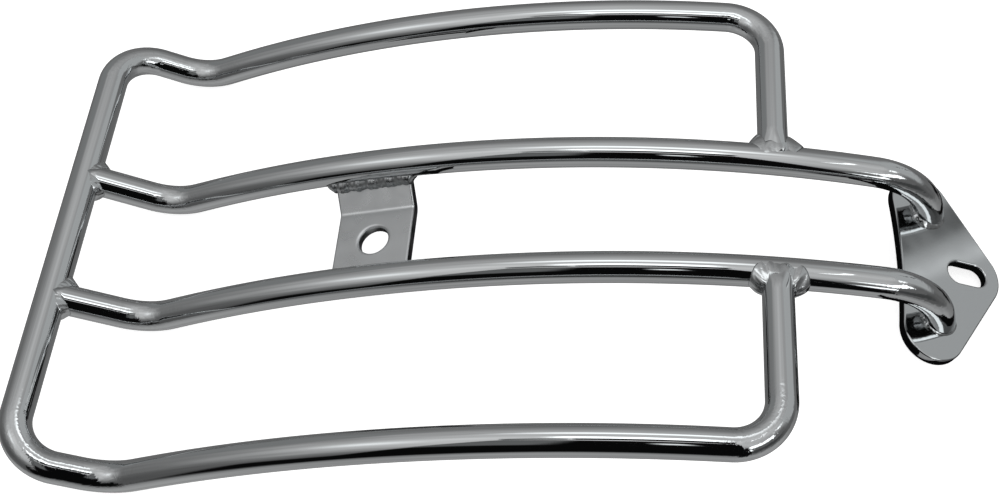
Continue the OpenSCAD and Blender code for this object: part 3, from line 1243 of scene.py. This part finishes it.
@dataclass(frozen=True)
class ChromePlate:
    """Bright chrome over polished steel.

    Chrome is a clean grey mirror, a little cooler than silver. What shows that it is real metal is the
    faint waviness that hand polishing leaves, and a rougher skin where the steel under it was left as laid.
    Sizes and heights of the patterns are in millimetres, as they stand on the metal.
    """

    name: str
    colour: str
    roughness: float
    wave_mm: float
    wave_height_mm: float
    grain_mm: float
    grain_height_mm: float
    mottle: float
    crease_mm: float = 2.6
    crease_height_mm: float = 0.0

    def make(self) -> bpy.types.Material:
        """Makes the material, with its patterns on Object coordinates.

        Returns:
            The material.
        """
        material = bpy.data.materials.new(self.name)
        tree = blank_tree(material)
        place = add_node(tree, "ShaderNodeTexCoord").outputs["Object"]
        # Waves of the polishing wheel, a few millimetres long
        wave = add_node(tree, "ShaderNodeTexNoise", {
            "Vector": place, "Scale": 1.0 / (self.wave_mm * MM), "Detail": 1.0, "Roughness": 0.4})
        # Polishing grain, drawn coarser than the real scratches so that it shows at all
        grain = add_node(tree, "ShaderNodeTexNoise", {
            "Vector": place, "Scale": 1.0 / (self.grain_mm * MM), "Detail": 3.0, "Roughness": 0.6})
        wavy = add_node(tree, "ShaderNodeBump", {
            "Height": wave.outputs["Fac"], "Strength": 1.0, "Distance": self.wave_height_mm * MM})
        rough = add_node(tree, "ShaderNodeBump", {
            "Height": grain.outputs["Fac"], "Strength": 1.0, "Distance": self.grain_height_mm * MM,
            "Normal": wavy.outputs["Normal"]})
        if self.crease_height_mm:
            # Small creases that the bending left on tight bends, drawn out by the polishing
            crease = add_node(tree, "ShaderNodeTexNoise", {
                "Vector": place, "Scale": 1.0 / (self.crease_mm * MM), "Detail": 2.0, "Roughness": 0.55,
                "Distortion": 0.6})
            tight = add_node(tree, "ShaderNodeAttribute", attribute_name="tight")
            creased = add_node(tree, "ShaderNodeMath", {
                0: crease.outputs["Fac"], 1: tight.outputs["Fac"]}, operation="MULTIPLY")
            rough = add_node(tree, "ShaderNodeBump", {
                "Height": creased.outputs[0], "Strength": 1.0, "Distance": self.crease_height_mm * MM,
                "Normal": rough.outputs["Normal"]})
        # Thin haze where the plating is less bright
        haze = add_node(tree, "ShaderNodeMapRange", {
            "Value": wave.outputs["Fac"], "From Min": 0.35, "From Max": 0.75,
            "To Min": self.roughness * (1 - self.mottle), "To Max": self.roughness * (1 + self.mottle)})
        metal = add_node(tree, "ShaderNodeBsdfPrincipled", {
            "Base Color": linear(self.colour), "Metallic": 1.0, "Roughness": haze.outputs["Result"],
            "Normal": rough.outputs["Normal"]})
        add_node(tree, "ShaderNodeOutputMaterial", {"Surface": metal.outputs["BSDF"]})
        return material


class Finish(Enum):
    """The finishes on the rack."""

    # Round bar, polished along its length before plating: a near perfect mirror
    ROD = ChromePlate("bright_chrome_on_round_bar", "#CBCDCE", roughness=0.035, mottle=0.5, wave_mm=9.0,
                      wave_height_mm=0.008, grain_mm=1.2, grain_height_mm=0.0006, crease_height_mm=0.09)
    # Flat bar, polished on a belt: a mirror with a slightly softer image
    PLATE = ChromePlate("bright_chrome_on_flat_bar", "#C4C6C7", roughness=0.09, mottle=0.4, wave_mm=12.0,
                        wave_height_mm=0.006, grain_mm=1.0, grain_height_mm=0.0012)
    # The strap was plated without much polishing: a satin metal that only shows broad light and dark
    STRAP = ChromePlate("satin_chrome_on_strap", "#DCDEDF", roughness=0.36, mottle=0.3, wave_mm=7.0,
                        wave_height_mm=0.02, grain_mm=0.8, grain_height_mm=0.004)
    # Weld metal that was plated as laid, on the strap's legs: the same chrome over pits and scale
    DULL_WELD = ChromePlate("dull_chrome_on_strap_weld", "#A9ABAC", roughness=0.34, mottle=0.4, wave_mm=3.0,
                            wave_height_mm=0.10, grain_mm=0.8, grain_height_mm=0.03)
    # Weld metal on the rods, brushed up a little before plating
    WELD = ChromePlate("bright_chrome_on_weld_bead", "#C3C5C6", roughness=0.13, mottle=0.5, wave_mm=2.4,
                       wave_height_mm=0.10, grain_mm=0.6, grain_height_mm=0.02)


class Cloth(Enum):
    """The cloths and lamp screens of the studio, by their brightness."""

    BLACK = 0.004
    DIM = 0.07
    SHADE = 0.17
    GREY = 0.27
    PALE = 0.54
    SOFT = 0.8
    GLOW = 1.25
    BACK = 1.8
    SMALL = 2.2
    BRIGHT = 2.3

    def make(self) -> bpy.types.Material:
        """Makes the cloth, which lets through what lies behind it where its panel fades out.

        Returns:
            The material.
        """
        material = bpy.data.materials.new(f"cloth_{self.name.lower()}")
        tree = blank_tree(material)
        cloth = add_node(tree, "ShaderNodeEmission", {
            "Color": (0.97, 0.995, 1.0, 1.0), "Strength": self.value})
        cover = add_node(tree, "ShaderNodeAttribute", attribute_name="cover")
        clear = add_node(tree, "ShaderNodeBsdfTransparent")
        faded = add_node(tree, "ShaderNodeMixShader", {
            0: cover.outputs["Fac"], 1: clear.outputs[0], 2: cloth.outputs[0]})
        add_node(tree, "ShaderNodeOutputMaterial", {"Surface": faded.outputs[0]})
        return material


# How far the walls, the lamps and the openings stand from the origin
TENT_R, FAR, NEAR = 1500.0, 1425.0, 600.0


@dataclass(frozen=True)
class Patch:
    """A curved panel of the studio, between two azimuths and two elevations in degrees, seen from the origin.

    Each edge fades out over the share of the width that soft gives, up to a half.
    """

    name: str
    azimuth: tuple[float, float]
    elevation: tuple[float, float]
    radius: float
    cloth: Cloth | None = None
    soft: float = 0.0

    def net(self) -> np.ndarray:
        """Its points, r (cos(e) cos(a), cos(e) sin(a), sin(e)) for azimuths a and elevations e.

        Returns:
            The net, with the shape (49, 97, 3).
        """
        a, e = np.radians(np.linspace(*self.azimuth, 97)), np.radians(np.linspace(*self.elevation, 49))
        a, e = np.meshgrid(a, e)
        return self.radius * np.stack([np.cos(e) * np.cos(a), np.cos(e) * np.sin(a), np.sin(e)], -1)


@dataclass(frozen=True)
class Sheet:
    """A flat panel of the studio that fills a box with no thickness in X or in Z."""

    name: str
    x: tuple[float, float]
    y: tuple[float, float]
    z: tuple[float, float]
    cloth: Cloth
    soft: float = 0.0

    def net(self) -> np.ndarray:
        """Its points, with x and z running along one side and y along the other.

        Returns:
            The net, with the shape (33, 33, 3).
        """
        u, v = np.meshgrid(np.linspace(0.0, 1.0, 33), np.linspace(0.0, 1.0, 33), indexing="ij")
        sides = ((self.x, u), (self.y, v), (self.z, u))
        return np.stack([low + (high - low) * w for (low, high), w in sides], -1)


# The black openings with their edges, the lamps, and the shades and cards. The last four are painted shadow:
# black sheets that lie and stand close to the rack for the shade of the floor under it, and darken the side
# walls of the plate and the strap.
PANELS = (
    Patch("opening", (239.0, 303.0), (-8.0, 59.0), NEAR, Cloth.BLACK, 0.04),
    Patch("low_opening", (225.0, 246.0), (-10.0, 17.0), NEAR, Cloth.BLACK, 0.25),
    Patch("opening_edge", (237.0, 264.0), (30.0, 60.0), NEAR * 0.98, Cloth.SHADE, 0.25),
    Sheet("lamp_flag", (-70.0, 190.0), (-312.0, -212.0), (601.0, 601.0), Cloth.BLACK, 0.03),
    Sheet("lamp_edge", (-190.0, -70.0), (-312.0, -212.0), (601.0, 601.0), Cloth.SHADE, 0.1),
    Sheet("strip_lamp", (-125.0, 190.0), (-220.0, -80.0), (600.0, 600.0), Cloth.BRIGHT, 0.18),
    Sheet("back_strip", (-170.0, 260.0), (0.0, 110.0), (410.0, 410.0), Cloth.BACK, 0.35),
    Patch("side_glow", (180.0, 222.0), (43.0, 63.0), FAR, Cloth.GLOW, 0.5),
    Patch("front_lamp", (301.0, 339.0), (22.0, 37.0), FAR, Cloth.SMALL, 0.12),
    Patch("low_lamp", (290.0, 306.0), (7.0, 18.0), FAR, Cloth.SMALL, 0.2),
    Patch("high_lamp", (345.0, 365.0), (37.0, 47.0), FAR, Cloth.SMALL, 0.25),
    Patch("slit_lamp", (328.0, 368.0), (60.5, 62.5), FAR, Cloth.SMALL, 0.2),
    Patch("camera_glint", (277.0, 287.0), (40.0, 50.0), NEAR * 0.9, Cloth.GLOW, 0.4),
    Patch("front_shade", (290.0, 346.0), (-8.0, 10.0), FAR, Cloth.DIM, 0.3),
    Patch("far_shade", (112.0, 158.0), (-8.0, 42.0), FAR, Cloth.GREY, 0.35),
    Patch("front_glow", (-12.0, 64.0), (4.0, 56.0), FAR, Cloth.PALE, 0.2),
    Patch("far_card", (16.0, 42.0), (-26.0, -12.0), FAR * 0.99, Cloth.BLACK, 0.2),
    Patch("low_card", (284.0, 298.0), (-24.0, 0.0), FAR, Cloth.BLACK, 0.2),
    Patch("plate_dark", (27.3, 31.2), (10.0, 36.0), NEAR, Cloth.SHADE, 0.35),
    Patch("plate_light", (25.2, 27.3), (10.0, 36.0), NEAR, Cloth.SOFT, 0.45),
    # Painted shadow: black sheets on and beside the floor under the plate and the strap, seen only in the
    # chrome
    Sheet("plate_painted_shadow", (150.0, 206.0), (-58.0, 60.0), (-0.1, -0.1), Cloth.BLACK),
    Sheet("plate_painted_shadow_flag", (150.0, 150.0), (-60.0, 64.0), (0.0, 22.0), Cloth.BLACK),
    Sheet("strap_painted_shadow", (-92.0, -42.0), (-22.0, 24.0), (-0.1, -0.1), Cloth.BLACK),
    Sheet("strap_painted_shadow_flag", (-42.0, -42.0), (-26.0, 46.0), (0.0, 30.0), Cloth.BLACK),
)


@dataclass
class Studio:
    """A white sweep, a tent of graded walls that only the chrome sees, and a camera at the photograph's angle.

    The walls' brightness is given by the sine of the elevation, away from the camera and on its side.
    """

    camera_at: tuple[float, float, float] = (47.7, -319.9, 518.3)
    camera_turn: tuple[float, float, float] = (32.9015, 0.5328, 2.156)
    lens: float = 50.56
    shift_x: float = -0.1
    sensor_w: float = 36.0
    air_light: float = 0.75
    floor_reach: float = 6000.0
    floor_drop: float = 0.2
    floor_glow: float = 0.76
    far_wall: tuple[tuple[float, float], ...] = (
        (-1.0, 0.20), (-0.5, 0.17), (-0.05, 0.20), (0.14, 0.20), (0.34, 0.24), (0.53, 0.31), (0.69, 0.42),
        (0.83, 0.53), (0.93, 0.62), (1.0, 0.68))
    near_wall: tuple[tuple[float, float], ...] = (
        (-1.0, 0.33), (-0.88, 0.42), (-0.5, 0.42), (-0.34, 0.34), (-0.22, 0.14), (0.05, 0.12), (0.3, 0.16),
        (0.42, 0.21), (0.57, 0.42), (0.7, 0.6), (0.85, 0.74), (0.93, 0.80), (1.0, 0.66))

    def camera(self) -> None:
        """Places the camera, with its turn about each axis in degrees."""
        data = bpy.data.cameras.new("camera")
        data.sensor_width, data.lens, data.shift_x = self.sensor_w, self.lens, self.shift_x
        camera = put_in_scene("camera", data)
        camera.location = tuple(MM * v for v in self.camera_at)
        camera.rotation_euler = tuple(math.radians(v) for v in self.camera_turn)
        bpy.context.scene.camera = camera

    def light_paths(self, tree: bpy.types.NodeTree) -> bpy.types.NodeSocket:
        """1 for rays from the camera and for those that metal or glass sends on.

        Args:
            tree: the node tree that reads it.

        Returns:
            The socket that gives it.
        """
        path = add_node(tree, "ShaderNodeLightPath").outputs
        both = add_node(tree, "ShaderNodeMath", {
            0: path["Is Camera Ray"], 1: path["Is Glossy Ray"]}, operation="MAXIMUM")
        return add_node(tree, "ShaderNodeMath", {
            0: both.outputs[0], 1: path["Is Transmission Ray"]}, operation="MAXIMUM").outputs[0]

    def world(self) -> None:
        """White where it is looked at, and a plain soft light on the floor."""
        world = bpy.data.worlds.new("studio_air")
        bpy.context.scene.world = world
        tree = blank_tree(world)
        strength = add_node(tree, "ShaderNodeMapRange", {
            "Value": self.light_paths(tree), "To Min": self.air_light, "To Max": 1.0})
        air = add_node(tree, "ShaderNodeBackground", {
            "Color": (1.0, 1.0, 1.0, 1.0), "Strength": strength.outputs["Result"]})
        add_node(tree, "ShaderNodeOutputWorld", {"Surface": air.outputs["Background"]})

    def floor(self) -> None:
        """A pale floor that shows white round the rack and keeps its shadow."""
        reach = self.floor_reach * MM
        mesh = bpy.data.meshes.new("studio_floor")
        mesh.from_pydata([(x * reach, y * reach, 0.0) for x, y in ((-1, -1), (1, -1), (1, 1), (-1, 1))], [],
                         [(0, 1, 2, 3)])
        floor = put_in_scene("studio_floor", mesh)
        floor.location.z = -self.floor_drop * MM
        material = bpy.data.materials.new("white_paper_sweep")
        tree = blank_tree(material)
        paper = add_node(tree, "ShaderNodeBsdfDiffuse", {"Color": linear("#E8E8E8")})
        glow = add_node(tree, "ShaderNodeMath", {
            0: self.light_paths(tree), 1: self.floor_glow}, operation="MULTIPLY")
        white = add_node(tree, "ShaderNodeEmission", {"Strength": glow.outputs[0]})
        both = add_node(tree, "ShaderNodeAddShader", {0: paper.outputs[0], 1: white.outputs[0]})
        add_node(tree, "ShaderNodeOutputMaterial", {"Surface": both.outputs[0]})
        mesh.materials.append(material)
        floor.visible_glossy = False

    def hang(self, panel: Patch | Sheet, material: bpy.types.Material) -> None:
        """Hangs a panel that only the chrome sees, with its cover from 1 down to 0 at soft edges.

        Args:
            panel: the panel.
            material: its cloth.
        """
        skin, net = Skin(), panel.net()
        skin.grid(net)
        name = f"studio_{panel.name}"
        mesh = bpy.data.meshes.new(name)
        mesh.from_pydata((skin.points[0] * MM).tolist(), [], skin.faces)
        mesh.materials.append(material)
        cover = np.ones(net.shape[:2])
        if panel.soft:
            u, v = (np.linspace(0.0, 1.0, n) for n in net.shape[:2])
            cover = np.outer(*(smooth_step(np.minimum(w, 1.0 - w) / panel.soft) for w in (u, v)))
        mark_points(mesh, "cover", cover)
        thing = put_in_scene(name, mesh)
        thing.visible_camera = thing.visible_diffuse = thing.visible_shadow = False

    def wall_ramp(self, tree: bpy.types.NodeTree, height: bpy.types.NodeSocket,
                  stops: tuple[tuple[float, float], ...]) -> bpy.types.NodeSocket:
        """A wall's brightness by its height.

        Args:
            tree: the node tree.
            height: the sine of the elevation, moved to run from 0 to 1.
            stops: pairs of that sine, from -1 to 1, and the brightness there.

        Returns:
            The colour that the wall has.
        """
        ramp = add_node(tree, "ShaderNodeValToRGB", {"Fac": height})
        elements = ramp.color_ramp.elements
        ramp.color_ramp.interpolation = "EASE"
        while len(elements) < len(stops):
            elements.new(0.5)
        for element, (sine, bright) in zip(elements, stops):
            element.position, element.color = (sine + 1.0) / 2.0, (bright, bright, bright, 1.0)
        return ramp.outputs["Color"]

    def graded(self) -> bpy.types.Material:
        """The tent's cloth, graded by height, with one ramp for the far side and one for the camera's.

        Returns:
            The material.
        """
        material = bpy.data.materials.new("graded_tent_cloth")
        tree = blank_tree(material)
        place = add_node(tree, "ShaderNodeTexCoord").outputs["Object"]
        way = add_node(tree, "ShaderNodeVectorMath", {0: place}, operation="NORMALIZE").outputs[0]
        xyz = add_node(tree, "ShaderNodeSeparateXYZ", {0: way}).outputs
        height = add_node(tree, "ShaderNodeMapRange", {
            "Value": xyz["Z"], "From Min": -1.0, "From Max": 1.0}).outputs[0]
        far, near = (self.wall_ramp(tree, height, stops) for stops in (self.far_wall, self.near_wall))
        side = add_node(tree, "ShaderNodeMapRange", {
            "Value": xyz["Y"], "From Min": -0.35, "From Max": 0.45},
            interpolation_type="SMOOTHSTEP").outputs["Result"]
        mixed = add_node(tree, "ShaderNodeMix", {
            "Factor": side, 6: near, 7: far}, data_type="RGBA").outputs[2]
        # The walls of a real studio are never even: soft patches from 0.85 to 1.15 times as bright
        patchy = add_node(tree, "ShaderNodeTexNoise", {
            "Vector": way, "Scale": 3.2, "Detail": 1.0, "Roughness": 0.4})
        uneven = add_node(tree, "ShaderNodeMapRange", {
            "Value": patchy.outputs["Fac"], "From Min": 0.3, "From Max": 0.7, "To Min": 0.85, "To Max": 1.15})
        cloth = add_node(tree, "ShaderNodeEmission", {"Color": mixed, "Strength": uneven.outputs["Result"]})
        add_node(tree, "ShaderNodeOutputMaterial", {"Surface": cloth.outputs[0]})
        return material

    def build(self) -> None:
        """Sets up the camera, the air, the floor, the tent and the panels in it."""
        bpy.context.scene.view_settings.view_transform = "Standard"
        self.camera()
        self.world()
        self.floor()
        self.hang(Patch("tent", (0.0, 360.0), (-90.0, 90.0), TENT_R), self.graded())
        cloths = {cloth: cloth.make() for cloth in Cloth}
        for panel in PANELS:
            self.hang(panel, cloths[panel.cloth])


@dataclass
class LuggageRack:
    """The whole rack."""

    profile: SideProfile = field(default_factory=SideProfile)

    def rear_weld(self, side: Side) -> TeeWeld:
        """The tee of one rail on the rear bar.

        Args:
            side: the side of the rack.

        Returns:
            The weld.
        """
        p, y = self.profile, side.value
        return TeeWeld(f"rear_weld_{side.word}", p.place(np.zeros(2), y * p.rail_gap_rear / 2.0),
                       run_axis=np.array([0.0, float(y), 0.0]), branch_axis=pitched(-p.dip_angle)[0],
                       branch_lift=0.0, rod_r=p.rod_r, legs=(3.6, 3.2, 1.3), reaches=(3.6, 3.2, 0.8),
                       swell=0.1, ripples=Ripples(0.15, 2.4, 0.25, 11 + y))

    def hoop_weld(self, side: Side) -> TeeWeld:
        """The tee of one end of the hoop on its rail, smooth on the left and lumpy on the right.

        Args:
            side: the side of the rack.

        Returns:
            The weld.
        """
        p, y = self.profile, side.value
        heading = p.crown_heading(p.rail_rise, p.hoop_l)
        rail_at = p.crown_point(p.rail_rise, heading)
        rough, run_back = (0.12, 3.8) if side is Side.LEFT else (0.5, 5.6)
        return TeeWeld(f"hoop_weld_{side.word}", p.place(rail_at, y * p.rail_y(p.hoop_l)),
                       run_axis=pitched(heading)[0], branch_axis=np.array([0.0, float(y), 0.0]),
                       branch_lift=float((p.front_bar - rail_at)[1]), rod_r=p.rod_r,
                       legs=(4.6, 4.8, 5.2), reaches=(run_back, 6.1, 0.6), swell=0.5,
                       ripples=Ripples(rough * 0.4, 3.4, rough, 23 + y))

    def build(self) -> None:
        """Makes every piece in order."""
        rod, plate, satin, dull, weld = (f.value.make() for f in Finish)
        bender = RodBender(self.profile)
        Hoop(self.profile, bender).build(rod)
        for side in Side:
            InnerRail(self.profile, bender, side).build(rod)
        FrontPlate(self.profile).build(plate)
        strap = CrossStrap(self.profile)
        strap.build(satin)
        for side in Side:
            self.rear_weld(side).build(weld)
            self.hoop_weld(side).build(weld)
        for side in Side:
            StrapWeld(strap, side).build(dull)
            FootWeld(self.profile, side).build(weld)


def main() -> None:
    """Builds the rack and the studio."""
    logging.basicConfig(level=logging.INFO, format="%(name)s: %(message)s")
    LuggageRack().build()
    Studio().build()


if __name__ == "__main__":
    main()
